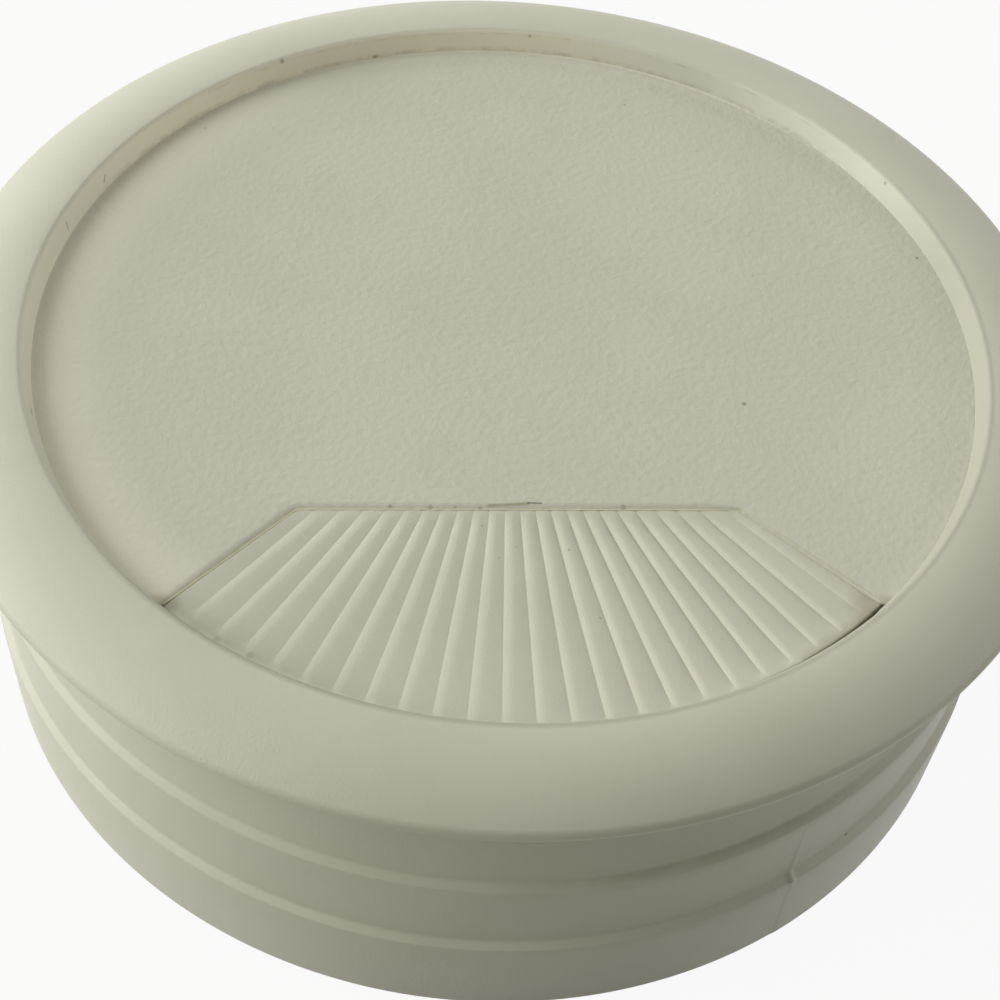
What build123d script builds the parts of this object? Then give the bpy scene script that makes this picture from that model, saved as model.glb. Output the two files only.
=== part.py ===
from build123d import *
import math
import os

# Desk cable grommet: a flanged liner for a round hole, a cap pressed into it, and a ribbed
# shutter that turns under the cap. Millimetres and degrees. The origin is on the axis at the
# barrel's foot, and +Z goes up through the flange.

# Hole in the desk, and the barrel that goes into it
HOLE_D = 60.0
BARREL_H = 20.3
BARREL_WALL = 2.0
FOOT_INSET = 0.4
FOOT_ROUND = 0.4

# Barbs as wide as the hole: a sloped ledge, a land below it, then a taper to the next groove.
# Their depths are measured down from the flange to the top of the land.
UPPER_BARB_DEPTH = 8.2
LOWER_BARB_DEPTH = 13.95
BARB_STEP = 0.4
BARB_LEDGE = 0.4
BARB_LAND = 0.5

# Flange on top of the desk: a thin round edge, and a domed crown that rises to the pocket
FLANGE_OVERLAP = 2.4
FLANGE_H = 2.7
FLANGE_EDGE_R = 0.6
CREST_ROUND = 0.35

# Pocket in the liner, the sloped lip over the cap's edge, and the ledge that carries the cap's
# collar and the shutter's margin
POCKET_D = 53.8
LIP_REACH = 0.4
LEDGE_REACH = 1.5
LEDGE_T = 1.4

# Cap
CAP_RECESS = 1.25
CAP_T = 0.6
CAP_CLEARANCE = 0.05
CAP_EDGE_ROUND = 0.4
COLLAR_WALL = 0.65
SNAP_BEAD = 0.3

# Window in the cap: a straight inner edge and two radial sides, open to the cap's rim
WINDOW_FACING = -90.0
WINDOW_CHORD = 11.9
WINDOW_ANGLE = 91.0
WINDOW_INNER_ROUND = 0.7
WINDOW_OUTER_ROUND = 0.8
COLLAR_SETBACK_ANGLE = 0.8

# Post under the cap, with a split snap head that holds the shutter
POST_R = 3.0
POST_CLEARANCE = 0.08
HEAD_REACH = 0.6
HEAD_LAND = 0.5
HEAD_H = 1.5
SNAP_SLOT = 1.2

# Shutter: plate, hub and travel
RUN_GAP = 0.15
SHUTTER_CLEARANCE = 0.2
SHUTTER_T = 1.1
SHUTTER_LAP_ANGLE = 2.0
SHUTTER_TUCK_ANGLE = 12.0
SHUTTER_CORNER_ROUND = 2.2
SHUTTER_TRAVEL = 84.0
HUB_INSET = 0.5
HUB_WALL = 2.4
HUB_H = 3.6

# Grip ribs on the shutter: low rounds with level tops, and valleys that deepen outwards
RIB_PITCH_ANGLE = 3.85
RIB_LAP_ANGLE = 0.25
RIB_GAP = 0.1
RIB_INNER_H = 0.12
RIB_OUTER_H = 0.2
RIB_TUCK = 0.8
RIB_MARGIN = 1.25
RIB_ROOT = 0.2

# Stops under the cap, at both ends of the shutter's travel
STOP_ANGLE = 3.0
STOP_GAP_ANGLE = 0.5
STOP_REACH = 2.5

# Radii
barb_r = HOLE_D / 2
groove_r = barb_r - BARB_STEP
foot_r = barb_r - FOOT_INSET
bore_r = foot_r - BARREL_WALL
flange_r = barb_r + FLANGE_OVERLAP
pocket_r = POCKET_D / 2
crest_r = pocket_r + CREST_ROUND
lip_r = pocket_r - LIP_REACH
cap_r = pocket_r - CAP_CLEARANCE
collar_r = cap_r - COLLAR_WALL
ledge_r = collar_r - LEDGE_REACH
shutter_r = collar_r - SHUTTER_CLEARANCE
hub_r = WINDOW_CHORD - HUB_INSET
hub_bore_r = POST_R + POST_CLEARANCE
rib_inner_r = WINDOW_CHORD - RIB_TUCK
rib_outer_r = shutter_r - RIB_MARGIN

# Heights
desk_z = BARREL_H
rim_z = desk_z + FLANGE_H
upper_barb_z = desk_z - UPPER_BARB_DEPTH
lower_barb_z = desk_z - LOWER_BARB_DEPTH
cap_top_z = rim_z - CAP_RECESS
cap_under_z = cap_top_z - CAP_T
lip_z = cap_top_z + CAP_CLEARANCE
rib_top_z = cap_under_z - RUN_GAP
plate_inner_z = rib_top_z - RIB_INNER_H
plate_outer_z = rib_top_z - RIB_OUTER_H
plate_under_z = plate_outer_z - SHUTTER_T
ledge_z = plate_under_z - RUN_GAP
bead_z = (ledge_z + cap_under_z) / 2
hub_under_z = plate_under_z - HUB_H
head_z = hub_under_z - RUN_GAP

# Angles about +Z from the window's centre line. The cap and the shutter are drawn with that
# line along +X, and are turned to the window's facing when they are done.
window_half = WINDOW_ANGLE / 2
shutter_right = window_half + SHUTTER_LAP_ANGLE
shutter_left = window_half + SHUTTER_TUCK_ANGLE
rib_right = window_half + RIB_LAP_ANGLE
rib_count = round((rib_right + window_half) / RIB_PITCH_ANGLE)


def polar(r, angle):
    """Point of the plan at a radius and an angle."""
    return r * math.cos(math.radians(angle)), r * math.sin(math.radians(angle))


def outline(*points):
    """Flat face inside straight lines through the points."""
    return make_face(Polyline(*points, close=True))


def block(r_in, r_out, z_low, z_high):
    """Rectangular (r, z) section."""
    return outline((r_in, z_low), (r_out, z_low), (r_out, z_high), (r_in, z_high))


def turned(section, start=0.0, arc=360.0):
    """Solid of an (r, z) section turned about the axis, from a start angle through an arc."""
    return Rot(0, 0, start) * revolve(Plane.XZ * section, Axis.Z, arc)


def near(shape, *points):
    """Corners of a flat face that lie nearest to the given points."""
    return [shape.vertices().sort_by_distance((*point, 0))[0] for point in points]


def barb(z):
    """Corners of one barb from its foot to its groove, with the land's top at a height."""
    return [(barb_r, z - BARB_LAND), (barb_r, z), (groove_r, z + BARB_LEDGE)]


def flange_arcs():
    """Round edge and crown of the flange, tangent to each other, and the crest down to the lip's slope."""
    edge_x, edge_z = flange_r - FLANGE_EDGE_R, desk_z + FLANGE_EDGE_R
    run, rise = edge_x - crest_r, rim_z - edge_z
    crown_r = (run ** 2 + rise ** 2 - FLANGE_EDGE_R ** 2) / (2 * (rise - FLANGE_EDGE_R))
    meet = math.degrees(math.atan2(edge_z - (rim_z - crown_r), run))
    edge = CenterArc((edge_x, edge_z), FLANGE_EDGE_R, -90, 90 + meet)
    crown = CenterArc((crest_r, rim_z - crown_r), crown_r, meet, 90 - meet)
    lip_x, lip_y = lip_r - crest_r, lip_z - (rim_z - CREST_ROUND)
    bearing = math.degrees(math.atan2(lip_y, lip_x)) % 360
    tangent = bearing - math.degrees(math.acos(CREST_ROUND / math.hypot(lip_x, lip_y)))
    crest = CenterArc((crest_r, rim_z - CREST_ROUND), CREST_ROUND, 90, tangent - 90)
    return [edge, crown, crest]


def liner():
    """Barrel, barbs, flange and pocket in one moulding, turned from one section."""
    over = flange_arcs()
    wall = Polyline(
        over[-1] @ 1,
        (lip_r, lip_z),
        (pocket_r, lip_z),
        (pocket_r, bead_z + SNAP_BEAD),
        (pocket_r + SNAP_BEAD, bead_z),
        (pocket_r, bead_z - SNAP_BEAD),
        (pocket_r, ledge_z),
        (ledge_r, ledge_z),
        (ledge_r, ledge_z - LEDGE_T),
        (bore_r, ledge_z - LEDGE_T - (bore_r - ledge_r)),
        (bore_r, 0),
        (foot_r, 0),
        *barb(lower_barb_z),
        *barb(upper_barb_z),
        (groove_r, desk_z),
        (flange_r - FLANGE_EDGE_R, desk_z),
    )
    section = make_face([wall, *over])
    section = fillet(near(section, (foot_r, 0)), FOOT_ROUND)
    return turned(section)


def cap_plate():
    """Disc with the window cut through its rim, its corners and its upper edge rounded."""
    spread = math.tan(math.radians(window_half))
    inner = [(WINDOW_CHORD, side * WINDOW_CHORD * spread) for side in (-1, 1)]
    outer = [(pocket_r, side * pocket_r * spread) for side in (1, -1)]
    plan = Circle(cap_r) - outline(*inner, *outer)
    plan = fillet(near(plan, *inner), WINDOW_INNER_ROUND)
    plan = fillet(near(plan, polar(cap_r, window_half), polar(cap_r, -window_half)), WINDOW_OUTER_ROUND)
    plate = Pos(0, 0, cap_under_z) * extrude(plan, CAP_T)
    return fillet(plate.edges().group_by(Axis.Z)[-1], CAP_EDGE_ROUND)


def collar():
    """Downstand round the cap with its snap bead, left out across the window."""
    wall = block(collar_r, cap_r, ledge_z, cap_under_z)
    bead = outline((cap_r, bead_z - SNAP_BEAD), (cap_r + SNAP_BEAD, bead_z), (cap_r, bead_z + SNAP_BEAD))
    end = window_half + COLLAR_SETBACK_ANGLE
    return turned(wall + bead, end, 360 - 2 * end)


def post():
    """Pivot under the cap's middle, with a slotted head that snaps through the hub."""
    section = outline(
        (0, cap_under_z),
        (POST_R, cap_under_z),
        (POST_R, head_z),
        (POST_R + HEAD_REACH, head_z),
        (POST_R + HEAD_REACH, head_z - HEAD_LAND),
        (POST_R - HEAD_REACH, head_z - HEAD_H),
        (0, head_z - HEAD_H),
    )
    slot_h = HEAD_H + RUN_GAP + HUB_H
    slot = Pos(0, 0, head_z - HEAD_H + slot_h / 2) * Box(SNAP_SLOT, 2 * hub_r, slot_h)
    return turned(section) - slot


def stop(angle):
    """Block inside the collar that an end of the shutter comes up to, from an angle onwards."""
    section = block(collar_r - STOP_REACH, cap_r - CAP_CLEARANCE, plate_under_z, cap_under_z)
    return turned(section, angle, STOP_ANGLE)


def cap():
    """Plate, collar, pivot post and travel stops in one moulding."""
    closed = stop(shutter_right + STOP_GAP_ANGLE)
    opened = stop(-shutter_left - SHUTTER_TRAVEL - STOP_GAP_ANGLE - STOP_ANGLE)
    return Rot(0, 0, WINDOW_FACING) * (cap_plate() + collar() + post() + closed + opened)


def crown_radius(r, height):
    """Radius of a round rib that stands to a height and leaves the gap to the next rib."""
    half = r * math.tan(math.radians(RIB_PITCH_ANGLE / 2)) - RIB_GAP / 2
    return (half ** 2 + height ** 2) / (2 * height)


def rib():
    """One radial rib along +X: a cone with a level top and a ball end, cut off inside the plate."""
    small, large = crown_radius(rib_inner_r, RIB_INNER_H), crown_radius(rib_outer_r, RIB_OUTER_H)
    start = Vector(rib_inner_r, 0, rib_top_z - small)
    end = Vector(rib_outer_r, 0, rib_top_z - large)
    length = (end - start).length
    side = Polyline((length + large, 0), (0, 0), (0, small), (length, large))
    section = make_face([side, CenterArc((length, 0), large, 0, 90)])
    along = Plane(start, x_dir=end - start, z_dir=(0, -1, 0))
    body = revolve(along * section, Axis(start, end - start))
    depth = RIB_OUTER_H + RIB_ROOT
    return body & Pos(shutter_r / 2, 0, rib_top_z - depth / 2) * Box(shutter_r, 2 * shutter_r, depth)


def sector():
    """Plate that closes the window, with rounded outer corners."""
    section = outline(
        (hub_bore_r, plate_under_z),
        (shutter_r, plate_under_z),
        (shutter_r, plate_outer_z),
        (rib_outer_r, plate_outer_z),
        (rib_inner_r, plate_inner_z),
        (hub_bore_r, plate_inner_z),
    )
    plate = turned(section, -shutter_left, shutter_left + shutter_right)
    uprights = plate.edges().filter_by(Axis.Z)
    corners = [edge for edge in uprights if math.hypot(edge.center().X, edge.center().Y) > rib_outer_r]
    return fillet(corners, SHUTTER_CORNER_ROUND)


def hub():
    """Disc and sleeve that turn on the post."""
    disc = block(hub_bore_r, hub_r, plate_under_z, plate_inner_z)
    sleeve = block(hub_bore_r, hub_bore_r + HUB_WALL, hub_under_z, plate_inner_z)
    return turned(disc + sleeve)


def shutter():
    """Sector, hub and grip ribs in one moulding."""
    first = rib_right - RIB_PITCH_ANGLE / 2
    ribs = [Rot(0, 0, first - count * RIB_PITCH_ANGLE) * rib() for count in range(rib_count)]
    return Rot(0, 0, WINDOW_FACING) * (sector() + hub() + ribs)


os.makedirs("parts", exist_ok=True)
export_step(liner(), "parts/liner.step")
export_step(cap(), "parts/cap.step")
export_step(shutter(), "parts/shutter.step")
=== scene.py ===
import math

import bmesh
import bpy
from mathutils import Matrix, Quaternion, Vector


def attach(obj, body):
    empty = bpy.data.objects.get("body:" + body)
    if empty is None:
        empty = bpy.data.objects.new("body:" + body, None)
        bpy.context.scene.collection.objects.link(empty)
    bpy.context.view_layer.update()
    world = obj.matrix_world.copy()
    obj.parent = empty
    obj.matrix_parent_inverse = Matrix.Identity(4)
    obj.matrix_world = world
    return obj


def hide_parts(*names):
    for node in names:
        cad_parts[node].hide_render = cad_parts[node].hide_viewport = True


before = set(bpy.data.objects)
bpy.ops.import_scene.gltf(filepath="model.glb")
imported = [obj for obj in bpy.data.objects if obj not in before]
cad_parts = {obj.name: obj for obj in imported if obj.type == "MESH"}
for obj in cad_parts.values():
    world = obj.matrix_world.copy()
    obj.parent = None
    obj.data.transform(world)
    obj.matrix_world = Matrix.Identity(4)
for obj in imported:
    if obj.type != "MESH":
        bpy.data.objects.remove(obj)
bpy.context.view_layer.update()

# Desk cable grommet: a flanged liner, a cap pressed into it, and a ribbed shutter under the cap.
# Shapes are drawn in millimetres and degrees in the part's own frame, and scaled to metres when
# a mesh is made. The cap and the shutter are drawn with the window along +X and then turned.
MM = 0.001

# Meshing: degrees in a step of a swept shape, its fewest steps, and the limit of a drawn-in corner
SWEEP_STEP = 1.2
FEWEST_STEPS = 6
MITRE_LIMIT = 0.5

# Liner
FLANGE_R = 32.4
FLANGE_EDGE_R = 0.6
DESK_Z = 20.3
RIM_Z = 23.0
CREST_ROUND = 0.35
POCKET_R = 26.9
LIP_R = 26.5
LIP_Z = 21.76
BEAD_Z = 20.35
BEAD_REACH = 0.3
BEAD_ROUND = 0.1
LEDGE_R = 24.7
LEDGE_Z = 19.55
LEDGE_T = 1.4
LEDGE_FOOT_ROUND = 0.1
LEDGE_EDGE_ROUND = 0.15
LEDGE_UNDER_ROUND = 0.25
BORE_R = 27.6
BORE_ROUND = 1.2
FOOT_R = 29.6
FOOT_BORE_ROUND = 0.3
FOOT_ROUND = 0.4
BARB_R = 30.0
GROOVE_R = 29.6
BARB_LAND = 0.5
BARB_LEDGE = 0.4
BARB_LAND_ROUND = 0.3
BARB_EDGE_ROUND = 0.26
GROOVE_ROUND = 0.32
NECK_ROUND = 0.15
UPPER_BARB_Z = 12.1
LOWER_BARB_Z = 6.35

# Drop of the lip across the window: how far inside the window's sides it starts, and its run-in
LIP_WINDOW_DROP = 0.14
LIP_WINDOW_CLEAR = 1.0
LIP_WINDOW_FADE = 0.8

# Rings on the tall walls, which keep the shading of the rounds from spreading along them
BORE_RING_Z = 8.0
NECK_RING_Z = 15.5

# Parting line on the barrel, and the nub where it crosses the lower barb
OUTSIDE_R = 28.4
PARTING_ANGLE = -59.4
PARTING_STEP = 0.035
PARTING_EDGE = 0.12
PARTING_RUN = 6.0
PARTING_TOP_Z = 8.2
PARTING_FADE = 1.6
NUB_Z = 6.55
NUB_H = 0.16
NUB_SPREAD = 0.2
NUB_RISE = 0.35

# Cap and its window, which faces -Y
FACING = -90.0
CAP_R = 26.85
CAP_TOP_Z = 21.75
CAP_UNDER_Z = 21.6
CAP_RIM_ROUND = 0.03
CAP_RIM_FADE = 0.8
WINDOW_EDGE_ROUND = 0.5
WINDOW_EDGE_RIGHT = 0.12
WINDOW_EDGE_CHANGE = 10.0, 13.0
WINDOW_EDGE_DROP = 0.145
WINDOW_CHORD = 12.2
WINDOW_INNER_HALF = 43.95
WINDOW_HALF = 44.85
WINDOW_INNER_ROUND = 0.7
WINDOW_OUTER_ROUND = 0.8
WINDOW_OUTER_CLEAR = 2.5
COLLAR_R = 26.4
COLLAR_RELIEF = 0.06
COLLAR_INNER_ROUND = 0.1
COLLAR_OUTER_ROUND = 0.15
COLLAR_SETBACK = 0.8
JOIN_LAP = 0.1

# Post under the cap, and the stops of the shutter's travel
POST_R = 3.0
HEAD_R = 3.6
HEAD_TOP_Z = 15.95
HEAD_LAND = 0.5
HEAD_UNDER_Z = 14.45
HEAD_TIP_R = 2.4
HEAD_TOP_ROUND = 0.1
HEAD_ROUND = 0.2
SNAP_SLOT = 1.2
SNAP_SLOT_TOP_Z = 19.7
SNAP_SLOT_OVER = 1.0
SNAP_SLOT_HALF_LENGTH = 6.0
STOP_ANGLE = 3.0
STOP_GAP = 0.5
STOP_REACH = 2.5
STOP_INSET = 0.12

# Shutter
SHUTTER_R = 26.36
SHUTTER_RIGHT = 47.5
SHUTTER_LEFT = 57.5
SHUTTER_CORNER = 0.9
SHUTTER_TRAVEL = 84.0
SHUTTER_EDGE = 0.12
SECTOR_START_R = 8.0
PLATE_UNDER_Z = 19.7
PLATE_Z = 21.54
HUB_R = 11.4
HUB_BORE_R = 3.08
HUB_SLEEVE_R = 5.48
HUB_UNDER_Z = 16.1
HUB_INSET = 0.02
HUB_EDGE_ROUND = 0.1
HUB_BORE_ROUND = 0.15
HUB_SLEEVE_ROUND = 0.2
HUB_FILLET = 0.3
CORNER_MIDDLE_R = SHUTTER_R - SHUTTER_CORNER
CORNER_LEAD = math.degrees(math.asin(SHUTTER_CORNER / CORNER_MIDDLE_R))

# Grip ribs: a steep left side, a long fall to the right, and finger-like outer ends. A span is a
# stretch of angles over which they change towards one side.
RIB_TOP_Z = 21.592
RIB_RIGHT = 46.17
RIB_COUNT = 24
RIB_PITCH = 3.82
RIB_STEEP = 0.55
RIB_STEEP_RIGHT = 0.4
RIB_LEAST_CROWN = 0.55
RIB_FALL = 1.2
RIB_FALL_RIGHT = 3.0
RIB_DROP = 0.075
RIB_DROP_RIGHT = 0.15
RIB_FIRST = 2
RIB_RIGHT_SPAN = -5, 25
RIB_INNER_R = 11.1
RIB_INNER_DEPTH = 0.15
RIB_INNER_FADE = 1.2
RIB_END_R = 26.8
RIB_END_LEFT_R = 26.1
RIB_END_RIGHT_R = 26.0
RIB_END_SOFT = 0.5
RIB_END_RIGHT_SOFT = 2.4
RIB_END_LEFT_SPAN = -24, -32
RIB_END_RIGHT_SPAN = 8, 26


def polar(r, angle):
    """Point of the plan at a radius and an angle."""
    return r * math.cos(math.radians(angle)), r * math.sin(math.radians(angle))


def portion(value, low, high):
    """0 at the low value, 1 at the high one, a straight line between and level outside."""
    return min(1, max(0, (value - low) / (high - low)))


def between(first, second, share):
    """Value at a share of the way from the first to the second."""
    return first + (second - first) * share


def arc(centre, r, start, sweep, steps):
    """Points along a circular arc, both ends included."""
    return [
        (centre[0] + r * math.cos(math.radians(start + sweep * i / steps)),
         centre[1] + r * math.sin(math.radians(start + sweep * i / steps)))
        for i in range(steps + 1)
    ]


def rounded(corners, steps=4):
    """Closed outline through (x, y, radius) corners, with an arc at each corner that has a radius."""
    points = []
    count = len(corners)
    for i, (x, y, radius) in enumerate(corners):
        here = Vector((x, y))
        if radius == 0:
            points.append((x, y))
            continue
        back = (Vector(corners[i - 1][:2]) - here).normalized()
        ahead = (Vector(corners[(i + 1) % count][:2]) - here).normalized()
        half = back.angle(ahead) / 2
        centre = here + (back + ahead).normalized() * radius / math.sin(half)
        first = here + back * radius / math.tan(half) - centre
        last = here + ahead * radius / math.tan(half) - centre
        turn = first.angle_signed(last)
        for k in range(steps + 1):
            a = -turn * k / steps
            points.append((
                centre.x + first.x * math.cos(a) - first.y * math.sin(a),
                centre.y + first.x * math.sin(a) + first.y * math.cos(a),
            ))
    return points


def solid(name, points, faces):
    """Closed mesh object from points in millimetres, with doubles merged and faces turned outwards."""
    mesh = bpy.data.meshes.new(name)
    shape = bmesh.new()
    corners = [shape.verts.new([c * MM for c in point]) for point in points]
    for face in faces:
        shape.faces.new([corners[i] for i in face])
    bmesh.ops.remove_doubles(shape, verts=shape.verts, dist=1e-8)
    bmesh.ops.recalc_face_normals(shape, faces=shape.faces)
    shape.to_mesh(mesh)
    shape.free()
    piece = bpy.data.objects.new(name, mesh)
    bpy.context.scene.collection.objects.link(piece)
    return piece


def carried(section, angles, whole):
    """Points and faces of an (r, z) section carried round the axis through the angles."""
    size = len(section)
    points = [(*polar(r, angle), z) for angle in angles for r, z in section]
    spans = len(angles) if whole else len(angles) - 1
    faces = []
    for i in range(spans):
        j = (i + 1) % len(angles)
        for k in range(size):
            m = (k + 1) % size
            faces.append((i * size + k, j * size + k, j * size + m, i * size + m))
    if not whole:
        faces.append(tuple(range(size)))
        faces.append(tuple(range((len(angles) - 1) * size, len(angles) * size)))
    return points, faces


def swept(name, section, start, sweep):
    """Solid of an (r, z) section carried round the axis from a start angle."""
    whole = sweep == 360
    steps = max(FEWEST_STEPS, round(abs(sweep) / SWEEP_STEP))
    count = steps if whole else steps + 1
    return solid(name, *carried(section, [start + sweep * i / steps for i in range(count)], whole))


def merged(base, joins, cuts=()):
    """One closed mesh: the base with overlapping solids joined to it and others cut from it."""
    for operation, tools in (("UNION", joins), ("DIFFERENCE", cuts)):
        for tool in tools:
            step = base.modifiers.new(operation.lower(), "BOOLEAN")
            step.operation = operation
            step.solver = "EXACT"
            step.object = tool
    bpy.context.view_layer.update()
    result = bpy.data.meshes.new_from_object(base.evaluated_get(bpy.context.evaluated_depsgraph_get()))
    base.modifiers.clear()
    base.data = result
    for tool in (*joins, *cuts):
        bpy.data.objects.remove(tool)
    return base


def smooth(piece, angle=32):
    """Smooth shading, with the edges above an angle kept crisp."""
    piece.data.polygons.foreach_set("use_smooth", [True] * len(piece.data.polygons))
    piece.data.set_sharp_from_angle(angle=math.radians(angle))


def flange_outline():
    """Points over the flange, from its underside round the edge and the crown to the lip's slope."""
    crest_r = POCKET_R + CREST_ROUND
    crest = (crest_r, RIM_Z - CREST_ROUND)
    slope = LIP_R - crest[0], LIP_Z - crest[1]
    bearing = math.degrees(math.atan2(slope[1], slope[0])) % 360
    tangent = bearing - math.degrees(math.acos(CREST_ROUND / math.hypot(*slope)))
    edge = (FLANGE_R - FLANGE_EDGE_R, DESK_Z + FLANGE_EDGE_R)
    run, rise = edge[0] - crest_r, RIM_Z - edge[1]
    crown_r = (run ** 2 + rise ** 2 - FLANGE_EDGE_R ** 2) / (2 * (rise - FLANGE_EDGE_R))
    crown = (crest_r, RIM_Z - crown_r)
    meet = math.degrees(math.atan2(edge[1] - crown[1], run))
    return (
        arc(edge, FLANGE_EDGE_R, -90, 90 + meet, 20)
        + arc(crown, crown_r, meet, 90 - meet, 16)[1:]
        + arc(crest, CREST_ROUND, 90, tangent - 90, 8)[1:]
    )


def barb(z):
    """Corners of one barb from its land to its groove, softened as the moulding is."""
    return [
        (BARB_R, z - BARB_LAND, BARB_LAND_ROUND),
        (BARB_R, z, BARB_EDGE_ROUND),
        (GROOVE_R, z + BARB_LEDGE, GROOVE_ROUND),
    ]


def liner_section():
    """Closed (r, z) outline of the liner."""
    wall = [
        (LIP_R, LIP_Z, 0),
        (POCKET_R, LIP_Z, 0),
        (POCKET_R, BEAD_Z + BEAD_REACH, 0),
        (POCKET_R + BEAD_REACH, BEAD_Z, BEAD_ROUND),
        (POCKET_R, BEAD_Z - BEAD_REACH, 0),
        (POCKET_R, LEDGE_Z, LEDGE_FOOT_ROUND),
        (LEDGE_R, LEDGE_Z, LEDGE_EDGE_ROUND),
        (LEDGE_R, LEDGE_Z - LEDGE_T, LEDGE_UNDER_ROUND),
        (BORE_R, LEDGE_Z - LEDGE_T - (BORE_R - LEDGE_R), BORE_ROUND),
        (BORE_R, BORE_RING_Z, 0),
        (BORE_R, 0, FOOT_BORE_ROUND),
        (FOOT_R, 0, FOOT_ROUND),
        *barb(LOWER_BARB_Z),
        *barb(UPPER_BARB_Z),
        (GROOVE_R, NECK_RING_Z, 0),
        (GROOVE_R, DESK_Z, NECK_ROUND),
    ]
    over = [(r, z, 0) for r, z in flange_outline()]
    return rounded(wall + over, 6)


def parting_mark(angle, r, z):
    """How far a point of the barrel stands out at the parting line: one mould half proud, and a nub."""
    if r < OUTSIDE_R or z > UPPER_BARB_Z - BARB_LAND:
        return 0.0
    away = (angle - PARTING_ANGLE) * math.radians(r)
    step = PARTING_STEP * (0.5 + 0.5 * math.tanh(away / PARTING_EDGE))
    step *= math.exp(-max(away, 0) / PARTING_RUN) * portion(z, PARTING_TOP_Z, PARTING_TOP_Z - PARTING_FADE)
    nub = NUB_H * math.exp(-(away / NUB_SPREAD) ** 2 - ((z - NUB_Z) / NUB_RISE) ** 2)
    return step + nub


def lip_drop(x, y):
    """How far the lip reaches lower across the window, where no cap lies under it."""
    off = abs(math.degrees(math.atan2(y, x)) - FACING)
    start = WINDOW_HALF - LIP_WINDOW_CLEAR
    return LIP_WINDOW_DROP * portion(off, start, start - LIP_WINDOW_FADE)


def make_liner():
    """Barrel, barbs and flange turned from one section, then the lip's drop and the parting line."""
    section = liner_section()
    fine_step, fine_before, fine_after = 0.16, 12, 26
    coarse_count = 380
    angles = [PARTING_ANGLE + fine_step * i for i in range(-fine_before, fine_after)]
    start, span = angles[-1], 360 - (angles[-1] - angles[0])
    angles += [start + span * i / coarse_count for i in range(1, coarse_count)]
    points, faces = carried(section, angles, True)
    size = len(section)
    shaped = []
    for i, (x, y, z) in enumerate(points):
        r = section[i % size][0]
        if z == LIP_Z:
            z -= lip_drop(x, y)
        scale = 1 + parting_mark(angles[i // size], r, z) / r
        shaped.append((x * scale, y * scale, z))
    piece = solid("liner_shell", shaped, faces)
    smooth(piece, 50)
    return piece


def cap_outline():
    """Plan of the cap: its rim, and the window's sides and straight edge with rounded corners."""
    half = WINDOW_CHORD * math.tan(math.radians(WINDOW_INNER_HALF))
    parts = 8
    corners = [(WINDOW_CHORD, -half, WINDOW_INNER_ROUND)]
    corners += [(WINDOW_CHORD, half * i / parts, 0) for i in range(1 - parts, parts)]
    corners += [(WINDOW_CHORD, half, WINDOW_INNER_ROUND)]
    corners += [(*polar(CAP_R, WINDOW_HALF), WINDOW_OUTER_ROUND)]
    steps = 270
    first = WINDOW_HALF + WINDOW_OUTER_CLEAR
    sweep = 360 - 2 * first
    corners += [(*polar(CAP_R, first + sweep * i / steps), 0) for i in range(steps + 1)]
    corners += [(*polar(CAP_R, -WINDOW_HALF), WINDOW_OUTER_ROUND)]
    return rounded(corners, 8)


def drawn_in(plan, distances):
    """The outline moved inwards, each point by its distance along the mean of its two edges' normals."""
    result = []
    for i, point in enumerate(plan):
        here = Vector(point)
        before = (here - Vector(plan[i - 1])).normalized()
        after = (Vector(plan[(i + 1) % len(plan)]) - here).normalized()
        along = (before + after).normalized()
        inward = Vector((-along.y, along.x))
        result.append(tuple(here + inward * distances[i] / max(MITRE_LIMIT, along.dot(after))))
    return result


def edge_round(x, y):
    """Width and drop of the cap's upper edge: tight at the rim and the window's right side, else wide."""
    inside = min(1, (CAP_R - math.hypot(x, y)) / CAP_RIM_FADE)
    width = between(WINDOW_EDGE_ROUND, WINDOW_EDGE_RIGHT, portion(y, *WINDOW_EDGE_CHANGE))
    drop = min(width, WINDOW_EDGE_DROP)
    return between(CAP_RIM_ROUND, width, inside), between(CAP_RIM_ROUND, drop, inside)


def cap_plate():
    """Plate with its upper edge rounded all round, the window included."""
    plan = cap_outline()
    size = len(plan)
    points = [(x, y, CAP_UNDER_Z) for x, y in plan]
    rings = 7
    flat_margin = 0.3
    for k in range(rings):
        share = k / (rings - 1)
        inset = drawn_in(plan, [edge_round(x, y)[0] * share for x, y in plan])
        points += [(*p, CAP_TOP_Z - edge_round(*q)[1] * (1 - share) ** 2) for p, q in zip(inset, plan)]
    inset = drawn_in(plan, [edge_round(x, y)[0] + flat_margin for x, y in plan])
    points += [(x, y, CAP_TOP_Z) for x, y in inset]
    faces = [tuple(range(size))]
    for ring in range(rings + 1):
        for k in range(size):
            m = (k + 1) % size
            faces.append((ring * size + k, ring * size + m, (ring + 1) * size + m, (ring + 1) * size + k))
    faces.append(tuple(range((rings + 1) * size, (rings + 2) * size)))
    return solid("cap_shell", points, faces)


def collar():
    """Downstand round the cap with its snap bead, left out across the window."""
    wall_r = CAP_R - COLLAR_RELIEF
    section = rounded([
        (COLLAR_R, LEDGE_Z, COLLAR_INNER_ROUND),
        (wall_r, LEDGE_Z, COLLAR_OUTER_ROUND),
        (wall_r, BEAD_Z - BEAD_REACH, 0),
        (CAP_R + BEAD_REACH, BEAD_Z, BEAD_ROUND),
        (wall_r, BEAD_Z + BEAD_REACH, 0),
        (wall_r, CAP_UNDER_Z + JOIN_LAP, 0),
        (COLLAR_R, CAP_UNDER_Z + JOIN_LAP, 0),
    ])
    end = WINDOW_HALF + COLLAR_SETBACK
    return swept("collar", section, end, 360 - 2 * end)


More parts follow.
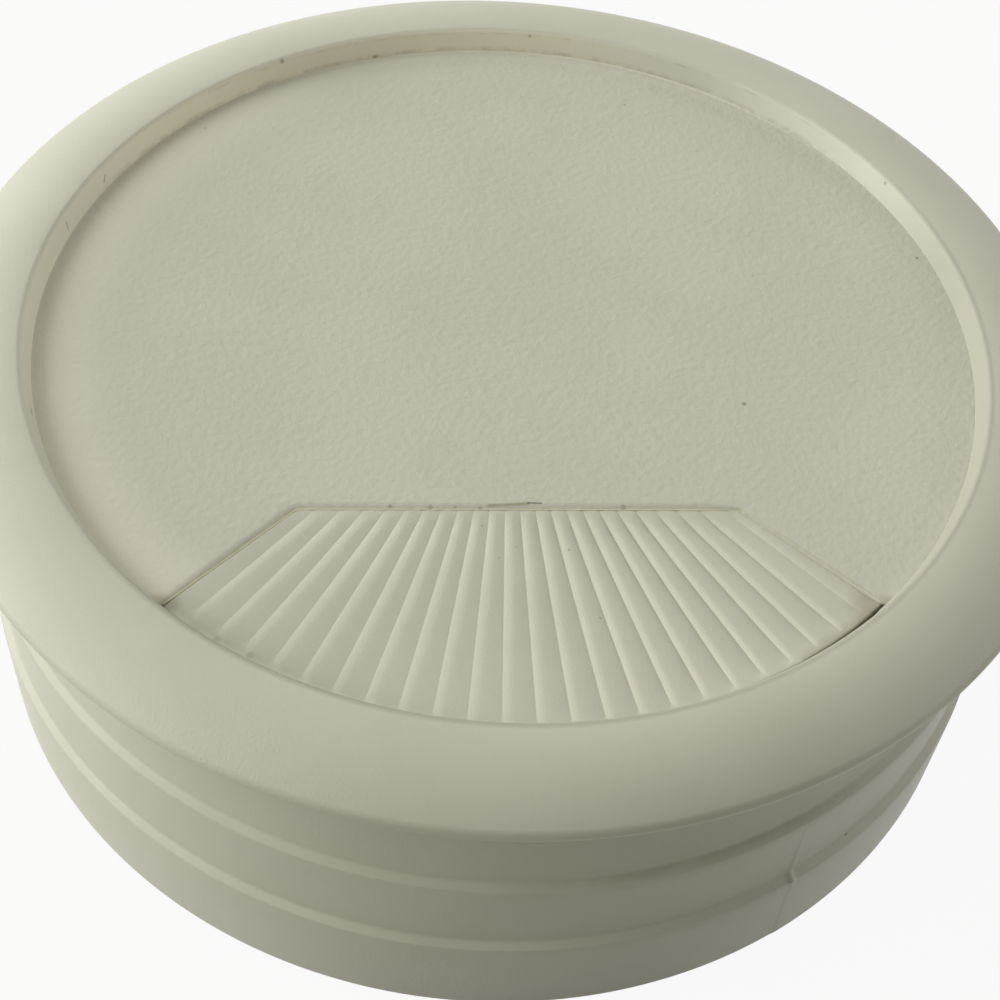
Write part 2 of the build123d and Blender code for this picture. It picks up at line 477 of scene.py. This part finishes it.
def post():
    """Pivot with its snap head."""
    section = rounded([
        (0, CAP_UNDER_Z + JOIN_LAP, 0),
        (POST_R, CAP_UNDER_Z + JOIN_LAP, 0),
        (POST_R, HEAD_TOP_Z, 0),
        (HEAD_R, HEAD_TOP_Z, HEAD_TOP_ROUND),
        (HEAD_R, HEAD_TOP_Z - HEAD_LAND, HEAD_ROUND),
        (HEAD_TIP_R, HEAD_UNDER_Z, HEAD_ROUND),
        (0, HEAD_UNDER_Z, 0),
    ])
    return swept("post", section, 0, 360)


def snap_slot():
    """Block that splits the post's head and shank."""
    half, reach = SNAP_SLOT / 2, SNAP_SLOT_HALF_LENGTH
    plan = [(-half, -reach), (half, -reach), (half, reach), (-half, reach)]
    points = [(x, y, z) for z in (HEAD_UNDER_Z - SNAP_SLOT_OVER, SNAP_SLOT_TOP_Z) for x, y in plan]
    faces = [(0, 1, 2, 3), (4, 5, 6, 7), (0, 1, 5, 4), (1, 2, 6, 5), (2, 3, 7, 6), (3, 0, 4, 7)]
    return solid("snap_slot", points, faces)


def stop(name, angle):
    """Block inside the collar that an end of the shutter comes up to."""
    inner_r, outer_r = COLLAR_R - STOP_REACH, CAP_R - STOP_INSET
    section = [
        (inner_r, PLATE_UNDER_Z),
        (outer_r, PLATE_UNDER_Z),
        (outer_r, CAP_UNDER_Z + JOIN_LAP),
        (inner_r, CAP_UNDER_Z + JOIN_LAP),
    ]
    return swept(name, section, angle, STOP_ANGLE)


def faced(piece):
    """Turns a mesh that was drawn with the window along +X to the window's facing."""
    piece.data.transform(Quaternion((0, 0, 1), math.radians(FACING)).to_matrix().to_4x4())
    return piece


def make_cap():
    """Plate, collar, split post and travel stops in one moulding."""
    closed = stop("closed_stop", SHUTTER_RIGHT + STOP_GAP)
    opened = stop("open_stop", -SHUTTER_LEFT - SHUTTER_TRAVEL - STOP_GAP - STOP_ANGLE)
    pivot = merged(post(), [], [snap_slot()])
    piece = faced(merged(cap_plate(), [collar(), pivot, closed, opened]))
    smooth(piece)
    return piece


def corner_reach(angle):
    """Shutter's outer radius at an angle, drawn in by the round corners at both ends."""
    past = max(angle - (SHUTTER_RIGHT - CORNER_LEAD), -SHUTTER_LEFT + CORNER_LEAD - angle)
    if past <= 0:
        return SHUTTER_R
    off = math.radians(min(past, CORNER_LEAD))
    across = CORNER_MIDDLE_R * math.sin(off)
    return CORNER_MIDDLE_R * math.cos(off) + math.sqrt(max(0, SHUTTER_CORNER ** 2 - across ** 2))


def edge_distance(r, angle):
    """How far a point of the shutter lies inside its outer edge and its round corners."""
    x, y = polar(r, angle)
    for corner, past in ((SHUTTER_RIGHT - CORNER_LEAD, angle - SHUTTER_RIGHT + CORNER_LEAD),
                         (-SHUTTER_LEFT + CORNER_LEAD, -SHUTTER_LEFT + CORNER_LEAD - angle)):
        if past > 0 and r > CORNER_MIDDLE_R * math.cos(math.radians(past)):
            cx, cy = polar(CORNER_MIDDLE_R, corner)
            return SHUTTER_CORNER - math.hypot(x - cx, y - cy)
    return SHUTTER_R - r


def side_distance(r, angle):
    """How far a point of the shutter lies inside its two straight ends."""
    return r * math.sin(math.radians(min(SHUTTER_RIGHT - angle, SHUTTER_LEFT + angle)))


def rib_end(angle):
    """Radius of the ribs' outer ends, which draw in at the left and the right."""
    left = (RIB_END_LEFT_R - RIB_END_R) * portion(angle, *RIB_END_LEFT_SPAN)
    right = (RIB_END_RIGHT_R - RIB_END_R) * portion(angle, *RIB_END_RIGHT_SPAN)
    return RIB_END_R + left + right


def rib_z(r, angle):
    """Height of the ribs and the smooth margin round them, before the edge is rounded."""
    place = (RIB_RIGHT - angle) / RIB_PITCH
    if r < RIB_INNER_R or not 0 <= place <= RIB_COUNT:
        return PLATE_Z
    width = r * math.radians(RIB_PITCH)
    right = portion(angle, *RIB_RIGHT_SPAN)
    share = place - math.floor(place)
    crown = max(RIB_LEAST_CROWN, 1 - between(RIB_STEEP, RIB_STEEP_RIGHT, right) / width)
    if share > crown:
        fall = ((share - crown) / (1 - crown)) ** 2
    else:
        fall = (1 - share / crown) ** between(RIB_FALL, RIB_FALL_RIGHT, right)
    depth = between(RIB_DROP, RIB_DROP_RIGHT, right) * portion(place, 0, RIB_FIRST)
    from_chord = max(0, r * math.cos(math.radians(angle)) - WINDOW_CHORD)
    depth *= min(1, RIB_INNER_DEPTH + from_chord / RIB_INNER_FADE)
    finger = (1 - right) * width / 2 * (1 - math.sqrt(1 - (2 * share - 1) ** 2))
    soft = between(RIB_END_SOFT, RIB_END_RIGHT_SOFT, right)
    past = 1 - portion(rib_end(angle) - r - finger, 0, soft)
    margin = between(PLATE_Z, RIB_TOP_Z, right)
    return between(margin, RIB_TOP_Z - depth * fall, math.sqrt(1 - past ** 2))


def shutter_z(r, angle):
    """Height of the shutter's upper face."""
    edge = max(0, min(edge_distance(r, angle), side_distance(r, angle)))
    return rib_z(r, angle) - SHUTTER_EDGE * (1 - min(edge / SHUTTER_EDGE, 1)) ** 2


def shutter_columns():
    """Angles of the shutter's grid: closest in the valleys and at the round corners."""
    angles = []
    ribbed = RIB_RIGHT - RIB_COUNT * RIB_PITCH
    corner = -SHUTTER_LEFT + 5.5
    at_left, at_margin, per_rib, at_right = 20, 8, 20, 24
    valley_pull = 0.12
    for i in range(at_left):
        share = math.sin(math.radians(90 * i / at_left)) ** 2
        angles.append(between(-SHUTTER_LEFT, corner, share))
    angles += [between(corner, ribbed, i / at_margin) for i in range(at_margin)]
    for rib in range(RIB_COUNT):
        for i in range(per_rib):
            share = i / per_rib - valley_pull * math.sin(math.tau * i / per_rib)
            angles.append(ribbed + RIB_PITCH * (rib + share))
    for i in range(at_right + 1):
        share = math.sin(math.radians(90 * i / at_right))
        angles.append(between(RIB_RIGHT, SHUTTER_RIGHT, share))
    return angles


def sector():
    """Ribbed plate as a closed polar grid, from inside the hub to the rounded outer edge."""
    ribs_from, ends_from = 0.2, 0.88
    at_hub, at_ribs, at_ends = 4, 44, 28
    rows = [ribs_from * i / at_hub for i in range(at_hub)]
    rows += [between(ribs_from, ends_from, i / at_ribs) for i in range(at_ribs)]
    rows += [between(ends_from, 1, i / at_ends) for i in range(at_ends + 1)]
    columns = shutter_columns()
    points, faces = [], []
    for angle in columns:
        reach = corner_reach(angle) - SECTOR_START_R
        for row in rows:
            r = SECTOR_START_R + reach * row
            points.append((*polar(r, angle), shutter_z(r, angle)))
    size, wide = len(rows), len(columns)
    low = len(points)
    for angle in columns:
        points.append((*polar(SECTOR_START_R, angle), PLATE_UNDER_Z))
        points.append((*polar(corner_reach(angle), angle), PLATE_UNDER_Z))
    for i in range(wide - 1):
        for k in range(size - 1):
            faces.append((i * size + k, i * size + k + 1, (i + 1) * size + k + 1, (i + 1) * size + k))
        faces.append((low + 2 * i, low + 2 * i + 1, low + 2 * i + 3, low + 2 * i + 2))
        faces.append((i * size, (i + 1) * size, low + 2 * i + 2, low + 2 * i))
        faces.append((i * size + size - 1, (i + 1) * size + size - 1, low + 2 * i + 3, low + 2 * i + 1))
    last = (wide - 1) * size
    faces.append((*range(size), low + 1, low))
    faces.append((*range(last, last + size), low + 2 * wide - 1, low + 2 * wide - 2))
    return solid("shutter_shell", points, faces)


def hub():
    """Disc and sleeve that turn on the post."""
    low, high = PLATE_UNDER_Z + HUB_INSET, PLATE_Z - HUB_INSET
    section = rounded([
        (HUB_BORE_R, HUB_UNDER_Z, HUB_BORE_ROUND),
        (HUB_SLEEVE_R, HUB_UNDER_Z, HUB_SLEEVE_ROUND),
        (HUB_SLEEVE_R, low, HUB_FILLET),
        (HUB_R, low, HUB_EDGE_ROUND),
        (HUB_R, high, HUB_EDGE_ROUND),
        (HUB_BORE_R, high, HUB_EDGE_ROUND),
    ])
    return swept("hub", section, 0, 360)


def make_shutter():
    """Ribbed sector and hub in one moulding."""
    piece = faced(merged(sector(), [hub()]))
    smooth(piece, 60)
    return piece


class Wire:
    """An output socket of a finish, with arithmetic on its values."""

    def __init__(self, finish, socket):
        self.finish = finish
        self.socket = socket

    def maths(self, operation, first, second):
        return self.finish.add("Math", {"operation": operation}, {0: first, 1: second})

    def __add__(self, other):
        return self.maths("ADD", self, other)

    def __radd__(self, other):
        return self.maths("ADD", other, self)

    def __sub__(self, other):
        return self.maths("SUBTRACT", self, other)

    def __mul__(self, other):
        return self.maths("MULTIPLY", self, other)

    def __rmul__(self, other):
        return self.maths("MULTIPLY", other, self)

    def __pow__(self, other):
        return self.maths("POWER", self, other)


def paint_colour(red, green, blue):
    """Linear colour of screen values from 0 to 255."""
    def linear(value):
        value /= 255
        return value / 12.92 if value <= 0.04045 else ((value + 0.055) / 1.055) ** 2.4

    return linear(red), linear(green), linear(blue), 1.0


# Core of a speck or a strand that has its full strength, and the plastic's sheen
SPECK_CORE = 0.35
STRAND_CORE = 0.3
SHEEN = 0.25


class Finish:
    """Node tree of one surface finish, in millimetres of the part's own frame."""

    def __init__(self, tree):
        self.tree = tree
        tree.nodes.clear()

    def add(self, kind, settings=None, sockets=None, out=0):
        """A node of a type, with its settings made first and its sockets then filled or linked."""
        node = self.tree.nodes.new("ShaderNode" + kind)
        for name, value in (settings or {}).items():
            setattr(node, name, value)
        for key, value in (sockets or {}).items():
            if isinstance(value, Wire):
                self.tree.links.new(value.socket, node.inputs[key])
            else:
                node.inputs[key].default_value = value
        return Wire(self, node.outputs[out] if node.outputs else None)

    def place(self):
        """The point on the piece in millimetres, as a vector."""
        here = self.add("TexCoord", out="Object")
        return self.add("VectorMath", {"operation": "SCALE"}, {0: here, "Scale": 1 / MM})

    def axes(self, spot):
        """The x, y and z of a point."""
        return [self.add("SeparateXYZ", {}, {0: spot}, axis) for axis in "XYZ"]

    def heading(self, x, y):
        """Angle about the axis in degrees."""
        return self.add("Math", {"operation": "ARCTAN2"}, {0: y, 1: x}) * (180 / math.pi)

    def ramp(self, value, low, high):
        """0 at the low value, 1 at the high one, a smooth rise between and level outside."""
        return self.add("MapRange", {"interpolation_type": "SMOOTHSTEP"}, {0: value, 1: low, 2: high})

    def band(self, value, low, high, soft):
        """1 between two values, with soft edges."""
        return self.ramp(value, low - soft, low + soft) * self.ramp(value, high + soft, high - soft)

    def noise(self, spot, grain, detail=2.0, rough=0.5):
        """Noise from 0 to 1 with grains of about a size in millimetres."""
        sockets = {"Vector": spot, "Scale": 1 / grain, "Detail": detail, "Roughness": rough}
        return self.add("TexNoise", {}, sockets)

    def blend(self, share, first, second):
        """First colour, or the second where the share is 1."""
        return self.add("Mix", {"data_type": "RGBA"}, {0: share, 6: first, 7: second}, 2)

    def speck(self, spot, point, size):
        """Mask of a round speck at a point, soft at its edge."""
        away = self.add("VectorMath", {"operation": "DISTANCE"}, {0: spot, 1: point}, "Value")
        return self.ramp(away, size, size * SPECK_CORE)

    def strand(self, spot, start, end, thick):
        """Mask of a short straight strand between two points."""
        run = Vector(end) - Vector(start)
        rel = self.add("VectorMath", {"operation": "SUBTRACT"}, {0: spot, 1: start})
        scaled = run / run.length_squared
        dot = self.add("VectorMath", {"operation": "DOT_PRODUCT"}, {0: rel, 1: scaled}, "Value")
        share = self.add("Clamp", {}, {0: dot})
        foot = self.add("VectorMath", {"operation": "SCALE"}, {0: run, "Scale": share})
        away = self.add("VectorMath", {"operation": "DISTANCE"}, {0: rel, 1: foot}, "Value")
        return self.ramp(away, thick, thick * STRAND_CORE)

    def most(self, masks):
        """Highest of several masks."""
        top = masks[0]
        for mask in masks[1:]:
            top = self.add("Math", {"operation": "MAXIMUM"}, {0: top, 1: mask})
        return top

    def plastic(self, colour, roughness, height, depth):
        """Plastic with a colour, a roughness and a relief of a depth in millimetres."""
        relief = self.add("Bump", {}, {"Strength": 1.0, "Distance": depth * MM, "Height": height})
        body = self.add("BsdfPrincipled", {}, {
            "Base Color": colour, "Roughness": roughness, "Normal": relief,
            "Specular IOR Level": SHEEN,
        })
        self.add("OutputMaterial", {}, {0: body})


# Colours of the plastic, of the painted light that stands for bounced light, of the painted shade, and of
# the dirt, some of which is partly painted shade
IVORY = paint_colour(180, 180, 164)
PALE_IVORY = paint_colour(184, 184, 169)
DARKER_YELLOW = paint_colour(176, 170, 146)
PAINTED_LIGHT_WALL = paint_colour(238, 233, 210)
PAINTED_LIGHT_PALE = paint_colour(233, 231, 208)
PAINTED_LIGHT_OLIVE = paint_colour(228, 222, 184)
PAINTED_SHADE_WALL = paint_colour(157, 156, 141)
OLIVE_DIRT_AND_SHADE = paint_colour(112, 104, 66)
BROWN_DIRT_AND_SHADE = paint_colour(92, 74, 40)
DARK_SPECK = paint_colour(58, 54, 44)

# Specks have a place, a size and, where they differ, a strength. Strands have two ends and a thickness.
LINER_MARK_STRENGTH = 0.45
LINER_SPECKS = [
    ((-12.94, 23.67, 22.86), 0.22),
    ((2.77, 26.77, 22.74), 0.15),
    ((23.58, 13.03, 22.8), 0.14),
    ((-7.1, 25.57, 21.8), 0.2),
    ((22.82, -13.84, 22.21), 0.14),
    ((18.62, -23.07, 6.75), 0.16),
    ((12.03, -24.12, 22.87), 0.1),
    ((9.88, -25.07, 22.87), 0.1),
]
LINER_STRANDS = [
    ((-25.24, 9.02, 22.5), (-24.95, 8.66, 21.77), 0.09),
    ((-23.26, 13.26, 22.42), (-23.32, 12.93, 22.16), 0.08),
    ((-26.01, -6.06, 22.25), (-26.11, -5.5, 22.2), 0.09),
]
CAP_SPECKS = [
    ((13.0, -4.47, 21.75), 0.2, 0.49),
    ((24.83, 7.55, 21.75), 0.16, 0.49),
    ((8.51, 21.28, 21.75), 0.14, 0.35),
    ((-17.57, 18.47, 21.75), 0.12, 0.28),
    ((-6.85, -12.02, 21.69), 0.16, 0.315),
    ((-4.73, -12.06, 21.68), 0.2, 0.35),
    ((-3.4, -12.06, 21.68), 0.14, 0.28),
    ((-2.07, -12.1, 21.67), 0.2, 0.28),
    ((5.59, -12.05, 21.68), 0.22, 0.35),
]
SHUTTER_SPECKS = [
    ((2.49, -14.93, 21.58), 0.13, 0.35),
    ((3.78, -19.43, 21.53), 0.12, 0.3),
    ((-2.01, -13.27, 21.55), 0.11, 0.3),
    ((-1.22, -15.45, 21.54), 0.1, 0.25),
    ((-0.24, -14.71, 21.56), 0.08, 0.25),
    # The last two specks are painted shade at the outer ends of two valleys
    ((-15.71, -20.78, 21.53), 0.3, 0.18),
    ((-14.03, -21.8, 21.53), 0.28, 0.18),
]


def new_finish(name):
    """Material with an empty node tree, and its finish."""
    material = bpy.data.materials.new(name)
    material.use_nodes = True
    return material, Finish(material.node_tree)


def from_axis(x, y):
    """Distance of a point from the axis."""
    return (x * x + y * y) ** 0.5


def clouded(f, spot, grain):
    """Ivory that drifts between its two shades in clouds of a size."""
    return f.blend(f.ramp(f.noise(spot, grain, 3), 0.3, 0.7), IVORY, PALE_IVORY)


def liner_finish():
    """Smooth satin ivory: painted shade with some yellowing on the neck, brown on the upper barb and in
    the pocket, painted light and painted shade on the pocket walls, and small marks.
    """
    material, f = new_finish("liner_satin_ivory")
    spot = f.place()
    x, y, z = f.axes(spot)
    r, angle = from_axis(x, y), f.heading(x, y)
    patch = f.noise(spot, 1.1, 3, 0.65)
    colour = clouded(f, spot, 9)

    # Outside of the barrel: painted shade with some yellowing on the neck under the flange, a stain above
    # the upper barb, and a paler stretch beside the parting line
    outside = f.ramp(r, OUTSIDE_R + 0.2, OUTSIDE_R + 0.6)
    neck = f.band(z, 16.5, 19.6, 0.8) * outside
    colour = f.blend(neck * 0.25, colour, DARKER_YELLOW)
    stain = f.band(z, UPPER_BARB_Z + 0.2, UPPER_BARB_Z + 0.5, 0.3) * outside
    stain = stain * f.band(angle, -86, -54, 8) * f.ramp(patch, 0.1, 0.6)
    colour = f.blend(stain * 0.35, colour, BROWN_DIRT_AND_SHADE)
    paler_stretch = f.ramp(angle, PARTING_ANGLE - 0.1, PARTING_ANGLE + 0.1) * f.ramp(angle, -40, -52)
    colour = f.blend(paler_stretch * outside * f.ramp(z, 8.5, 6.5) * 0.25, colour, PALE_IVORY)

    # Wall of the pocket: painted light at the far left for the light that the disc bounces onto it,
    # painted shade at the near right
    wall = f.ramp(r, 27.5, 27.1) * f.ramp(z, 21.0, 21.3)
    painted_bounce = f.ramp(r, 27.2, POCKET_R) * f.ramp(y - x, 8, 32) * (0.5 + 0.5 * f.ramp(y, 8, 22))
    colour = f.blend(wall * painted_bounce, colour, PAINTED_LIGHT_WALL)
    colour = f.blend(wall * f.ramp(y - 0.6 * x, 2, -10), colour, PAINTED_SHADE_WALL)

    # Dirt at the foot of the far wall, and scuffs below its crest
    foot = f.band(z, LIP_Z, LIP_Z + 0.19, 0.15) * f.ramp(patch, 0.35, 0.65) * 0.3
    scuff = f.band(z, RIM_Z - 0.26, RIM_Z - 0.18, 0.06) * f.ramp(patch, 0.5, 0.65) * 0.18
    far_wall = f.ramp(r, 27.3, 27.15) * f.ramp(y, 8, 20)
    colour = f.blend(f.most([foot, scuff]) * far_wall, colour, BROWN_DIRT_AND_SHADE)

    marks = [f.speck(spot, point, size) for point, size in LINER_SPECKS]
    marks += [f.strand(spot, start, end, thick) for start, end, thick in LINER_STRANDS]
    colour = f.blend(f.most(marks) * LINER_MARK_STRENGTH, colour, DARK_SPECK)
    fine = f.noise(spot, 0.16, 2)
    wave = f.noise(spot, 3.5, 1)
    f.plastic(colour, 0.42 + 0.1 * patch, fine * 0.5 + wave * 0.5, 0.03)
    return material


def cap_finish():
    """Fine spark-eroded ivory: painted light along the rim, painted shade and painted light on the
    window's edges, olive that is partly dirt and partly painted shade, and specks.
    """
    material, f = new_finish("cap_spark_eroded_ivory")
    spot = f.place()
    x, y, z = f.axes(spot)
    r = from_axis(x, y)
    patch = f.noise(spot, 0.9, 3, 0.65)
    colour = clouded(f, spot, 12)

    # Painted light along the far and left rim, where the pocket wall shades the disc, on the top face only
    far = f.ramp(y - 0.6 * x, -4, 16)
    rim = (0.2 * f.ramp(r, 25.2, 26.2) + 0.35 * f.ramp(r, 26.2, 26.45)) * far
    left = f.ramp(r, 21.5, 26.5) * f.ramp(x, -6, -20) * 0.42
    top_face = f.ramp(z, CAP_TOP_Z - 0.09, CAP_TOP_Z - 0.03)
    colour = f.blend(f.most([rim, left]) * top_face, colour, PAINTED_LIGHT_PALE)

    # Edge of the window: painted shade half-way down its slope, painted light at its foot, and olive that
    # is partly dirt and partly painted shade along the lit right side and in the outer corners
    slope_shade = f.band(z, CAP_TOP_Z - 0.09, CAP_TOP_Z - 0.05, 0.035)
    colour = f.blend(slope_shade * 0.25, colour, DARKER_YELLOW)
    foot = f.band(z, CAP_UNDER_Z, CAP_UNDER_Z + 0.04, 0.02) * f.ramp(x, 12.2, 11.6)
    colour = f.blend(foot * (0.6 + 0.4 * f.ramp(x, -11, -12)), colour, PAINTED_LIGHT_OLIVE)
    # Olive marks: dirt by the chord, and painted shade mixed with dirt along the right side and in the
    # corners
    dirt_and_shade = [
        f.strand(spot, (11.8, -12.25, 21.68), (18.94, -19.03, 21.68), 0.3) * 0.25,
        f.strand(spot, (-1.6, -11.98, 21.71), (0.5, -11.84, 21.74), 0.14) * 0.5,
        f.speck(spot, (-18.8, -18.8, 21.66), 1.1) * 0.35,
        f.speck(spot, (18.8, -18.8, 21.68), 0.9) * 0.4,
    ]
    colour = f.blend(f.most(dirt_and_shade) * (0.6 + 0.8 * patch), colour, OLIVE_DIRT_AND_SHADE)

    marks = [f.speck(spot, point, size) * strength for point, size, strength in CAP_SPECKS]
    marks.append(f.strand(spot, (0.5, -11.8, 21.745), (1.2, -11.83, 21.745), 0.09) * 0.6)
    colour = f.blend(f.most(marks), colour, DARK_SPECK)
    grain = f.noise(spot, 0.42, 2)
    f.plastic(colour, 0.5 + 0.12 * patch, grain, 0.04)
    return material


def shutter_finish():
    """Smooth satin ivory: yellower valleys, painted light along the edge at the left, olive and brown at
    the outer corners that is partly dirt and partly painted shade, and specks, two of them painted shade
    at valley ends.
    """
    material, f = new_finish("shutter_satin_ivory")
    spot = f.place()
    x, y, z = f.axes(spot)
    patch = f.noise(spot, 0.8, 3, 0.65)
    colour = clouded(f, spot, 6)
    valley = f.ramp(z, RIB_TOP_Z - 0.05, RIB_TOP_Z - 0.12)
    colour = f.blend(valley * (0.12 + 0.25 * f.ramp(patch, 0.4, 0.7)), colour, DARKER_YELLOW)
    # Painted light along the outer edge at the left, where the pocket wall shades it
    edge = f.ramp(from_axis(x, y), 25.8, 26.3) * f.ramp(x, -2, -10)
    colour = f.blend(edge * 0.3, colour, PAINTED_LIGHT_PALE)
    # Olive and brown at the outer corners, partly dirt and partly painted shade
    dirt_and_shade = [
        f.strand(spot, (18.2, -19.4, 21.5), (14.6, -22.1, 21.5), 0.9) * 0.3,
        f.speck(spot, (-18.3, -18.45, 21.5), 0.9) * 0.4,
    ]
    colour = f.blend(f.most(dirt_and_shade) * (0.6 + 0.8 * patch), colour, OLIVE_DIRT_AND_SHADE)
    colour = f.blend(f.speck(spot, (18.7, -18.9, 21.5), 2.4) * (0.15 + 0.3 * patch), colour, BROWN_DIRT_AND_SHADE)
    marks = [f.speck(spot, point, size) * strength for point, size, strength in SHUTTER_SPECKS]
    colour = f.blend(f.most(marks), colour, DARK_SPECK)
    fine = f.noise(spot, 0.15, 2)
    f.plastic(colour, 0.42 + 0.1 * patch, fine, 0.014)
    return material


def dress(piece, node, body, material):
    """Puts a finished piece in the place of its CAD node."""
    piece.data.materials.clear()
    piece.data.materials.append(material)
    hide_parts(node)
    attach(piece, body)


# Floor, room and lamps: a lamp has a heading and a height in degrees, a strength and a colour
FLOOR_HALF = 3000
FLOOR_Z = -0.02
FLOOR_TONES = paint_colour(166, 164, 154), paint_colour(172, 170, 160)
FLOOR_WHITE = 0.93
ROOM_COLOUR = (1.05, 1.0, 0.85, 1)
ROOM_STRENGTH = 0.19
WHITE = (1, 1, 1, 1)
LAMP_SPREAD = 50
LAMPS = {
    "left_softbox": (177, 22, 1.12, (0.99, 1.0, 1.0)),
    "right_softbox": (0, 8, 0.31, (0.98, 1.0, 1.03)),
    "back_left_softbox": (135, 32, 0.39, (1.03, 1.0, 0.97)),
    "back_right_softbox": (45, 32, 0.2, (1.0, 1.0, 1.0)),
}

# Camera of the photograph, with its place in metres
CAMERA_PLACE = (-0.010777, -0.093571, 0.115837)
CAMERA_LOOK = Vector((0.07819, 0.654828, -0.751722))
CAMERA_ROLL = 5.267
CAMERA_FOCAL = 84.6
CAMERA_SENSOR = 36
CAMERA_NEAREST = 0.005


def seen_white(f, share):
    """Share of plain white for camera rays, mirrored rays and rays passed through, none for others."""
    rays = "Is Camera Ray", "Is Glossy Ray", "Is Transmission Ray"
    return f.most([f.add("LightPath", out=ray) for ray in rays]) * share


def make_floor():
    """Pale floor under the foot that keeps a faint shadow on white."""
    half, z = FLOOR_HALF, FLOOR_Z
    corners = [(-half, -half, z), (half, -half, z), (half, half, z), (-half, half, z)]
    floor = solid("floor", corners, [(0, 1, 2, 3)])
    material, f = new_finish("pale_floor")
    tone = f.blend(f.noise(f.place(), 30, 3), *FLOOR_TONES)
    matt = f.add("BsdfDiffuse", {}, {"Color": tone})
    white = f.add("Emission", {}, {"Color": WHITE, "Strength": 1.0})
    surface = f.add("MixShader", {}, {0: seen_white(f, FLOOR_WHITE), 1: matt, 2: white})
    f.add("OutputMaterial", {}, {0: surface})
    floor.data.materials.append(material)


def make_world():
    """Even soft light from all round, which the camera sees as white."""
    world = bpy.data.worlds.new("soft_room")
    world.use_nodes = True
    bpy.context.scene.world = world
    f = Finish(world.node_tree)
    room = f.add("Background", {}, {"Color": ROOM_COLOUR, "Strength": ROOM_STRENGTH})
    white = f.add("Background", {}, {"Color": WHITE, "Strength": 1.0})
    surround = f.add("MixShader", {}, {0: seen_white(f, 1.0), 1: room, 2: white})
    f.add("OutputWorld", {}, {0: surround})


def make_lamp(name, heading, height, strength, colour):
    """Broad distant lamp from a heading and a height above the horizon, as soft as a large softbox."""
    lamp = bpy.data.lights.new(name, "SUN")
    lamp.angle = math.radians(LAMP_SPREAD)
    lamp.energy = math.pi * strength
    lamp.color = colour
    level = math.cos(math.radians(height))
    away = Vector((*polar(level, heading), math.sin(math.radians(height))))
    holder = bpy.data.objects.new(name, lamp)
    holder.location = away
    holder.rotation_euler = (-away).to_track_quat("-Z", "Y").to_euler()
    bpy.context.scene.collection.objects.link(holder)


def make_camera():
    """Camera at the photograph's place, aim and roll."""
    lens = bpy.data.cameras.new("photo_camera")
    lens.sensor_width = CAMERA_SENSOR
    lens.lens = CAMERA_FOCAL
    lens.clip_start = CAMERA_NEAREST
    camera = bpy.data.objects.new("photo_camera", lens)
    camera.location = CAMERA_PLACE
    roll = Quaternion((0, 0, 1), math.radians(CAMERA_ROLL))
    camera.rotation_euler = (CAMERA_LOOK.to_track_quat("-Z", "Y") @ roll).to_euler()
    bpy.context.scene.collection.objects.link(camera)
    bpy.context.scene.camera = camera


dress(make_liner(), "liner", "grommet", liner_finish())
dress(make_cap(), "cap", "grommet", cap_finish())
dress(make_shutter(), "shutter", "shutter", shutter_finish())
make_floor()
make_world()
for lamp_name, settings in LAMPS.items():
    make_lamp(lamp_name, *settings)
make_camera()
bpy.context.scene.view_settings.view_transform = "Standard"
